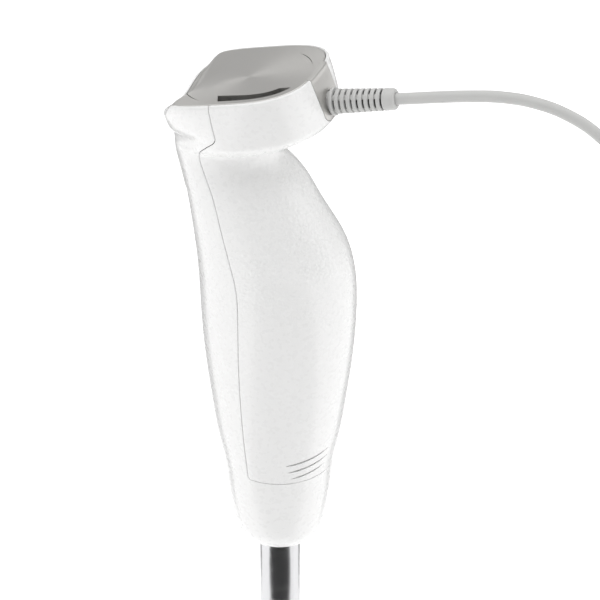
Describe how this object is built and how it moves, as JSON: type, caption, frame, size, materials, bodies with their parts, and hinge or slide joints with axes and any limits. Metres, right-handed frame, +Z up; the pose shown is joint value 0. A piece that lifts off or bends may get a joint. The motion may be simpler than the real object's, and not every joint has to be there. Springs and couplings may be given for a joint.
{
  "type": "immersion blender",
  "caption": "Corded immersion blender: white overhanging grip with grey cap and thumb button, steel arm, windowed bell and two-winged blade.",
  "frame": {"origin": "on the surface the bell stands on, under the middle of the object's box without its cord; the drive shaft's axis is 5.5 mm towards +X of it", "axes": "+Z up along the drive shaft, +X to the rear where the cord leaves, -X the side with the button, +Y the left side"},
  "size_m": [0.2178, 0.1022, 0.4255],
  "materials": {
    "white_gloss": "white glossy moulded ABS",
    "cap_grey": "warm grey metallic lacquer with a fine spun brushing",
    "relief_grey": "light grey flexible PVC, satin",
    "soft_grey": "soft-touch grey elastomer",
    "steel": "polished stainless steel",
    "iron": "varnished electrical sheet",
    "copper": "enamelled copper",
    "bronze": "sintered bronze",
    "carbon": "pressed carbon",
    "nylon": "natural glass-filled nylon",
    "black_plastic": "black phenolic",
    "rubber": "black rubber",
    "board_green": "solder-masked board",
    "capacitor_yellow": "yellow case",
    "brown_wire": "brown PVC",
    "blue_wire": "blue PVC"
  },
  "bodies": {
    "handle": {"front_shell": "white_gloss", "rear_shell": "white_gloss", "top_cap": "cap_grey", "micro_switch": "black_plastic", "circuit_board": "board_green", "suppression_capacitor": "capacitor_yellow", "button_spring": "steel", "strain_relief": "relief_grey", "power_cord": "relief_grey", "cord_coil": "relief_grey", "plug_body": "relief_grey", "plug_pin_left": "steel", "plug_pin_right": "steel", "cord_clamp": "nylon", "clamp_bridge": "nylon", "clamp_screw_left": "steel", "clamp_screw_right": "steel", "lead_live": "brown_wire", "lead_neutral": "blue_wire", "stator_core": "iron", "field_coil_left": "copper", "field_coil_right": "copper", "lower_bracket": "nylon", "upper_bracket": "nylon", "lower_bearing": "bronze", "upper_bearing": "bronze", "motor_screw_front": "steel", "motor_screw_rear": "steel", "carbon_brush_left": "carbon", "carbon_brush_right": "carbon", "brush_holder_left": "bronze", "brush_holder_right": "bronze", "motor_mount_lower": "rubber", "motor_mount_upper": "rubber", "arm_tube": "steel", "arm_collar": "nylon", "collar_screw_left": "steel", "collar_screw_right": "steel", "upper_bush": "bronze", "lower_bush": "bronze", "shaft_seal": "rubber", "bell_guard": "steel"},
    "button": {"power_button": "soft_grey", "switch_plunger": "black_plastic"},
    "rotor": {"motor_shaft": "steel", "rotor_core": "iron", "rotor_winding_lower": "copper", "rotor_winding_upper": "copper", "commutator": "copper", "cooling_fan": "nylon", "motor_coupling": "nylon"},
    "drive": {"drive_shaft": "steel", "arm_coupling": "nylon", "blade_hub": "steel", "blade": "steel", "blade_nut": "steel"}
  },
  "joints": [
    {"name": "button_slide", "type": "slide", "parent": "handle", "child": "button", "axis": [0.9781, 0, 0.2079], "range_m": [0, 0.0025], "stiffness_N_per_m": 300, "springref_m": -0.004, "deforming": ["button_spring"]},
    {"name": "rotor_spin", "type": "hinge", "parent": "handle", "child": "rotor", "pos_m": [0.0055, 0, 0.285], "axis": [0, 0, 1], "continuous": true},
    {"name": "drive_spin", "type": "hinge", "parent": "handle", "child": "drive", "pos_m": [0.0055, 0, 0.02], "axis": [0, 0, 1], "continuous": true}
  ],
  "couplings": [
    {"joint": "drive_spin", "follows": "rotor_spin", "ratio": 1}
  ]
}
